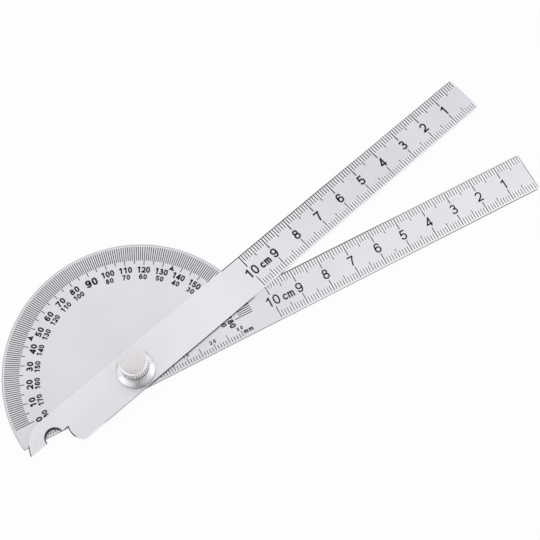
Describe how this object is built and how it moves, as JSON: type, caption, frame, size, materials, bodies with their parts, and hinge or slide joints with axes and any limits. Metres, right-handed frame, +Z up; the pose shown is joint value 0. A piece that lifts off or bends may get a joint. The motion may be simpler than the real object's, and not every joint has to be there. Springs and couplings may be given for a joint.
{
  "type": "angle finder",
  "caption": "Half-round protractor head with a fixed rule arm and a swinging rule arm, clamped at the centre by a knurled thumb nut.",
  "frame": {"origin": "on the pivot axis, in the flat underside of the base plate, where the stud's flush head lies", "axes": "+X along the fixed arm to its free end, +Y to the round side of the head, +Z up through the pivot to the thumb nut"},
  "size_m": [0.1943, 0.057, 0.0113],
  "materials": {
    "plate_steel": "satin",
    "arm_steel": "satin",
    "stud_steel": "turned",
    "washer_plating": "turned, bright",
    "nut_nickel": "turned, satin",
    "marking_ink": "matt black fill of the etched marks"
  },
  "bodies": {
    "base": {"base_plate": "plate_steel", "pivot_stud": "stud_steel"},
    "arm": {"swing_arm": "arm_steel"},
    "washer": {"dished_washer": "washer_plating"},
    "nut": {"thumb_nut": "nut_nickel"}
  },
  "joints": [
    {"name": "arm_swing", "type": "hinge", "parent": "base", "child": "arm", "pos_m": [0, 0, 0.00105], "axis": [0, 0, 1], "continuous": true},
    {"name": "nut_lift", "type": "slide", "parent": "base", "child": "washer", "axis": [0, 0, 1], "range_m": [0, 0.0056]},
    {"name": "nut_turn", "type": "hinge", "parent": "washer", "child": "nut", "pos_m": [0, 0, 0.003], "axis": [0, 0, 1], "range_deg": [0, 2881]}
  ],
  "couplings": [
    {"joint": "nut_turn", "follows": "nut_lift", "rad_per_m": 8976}
  ]
}
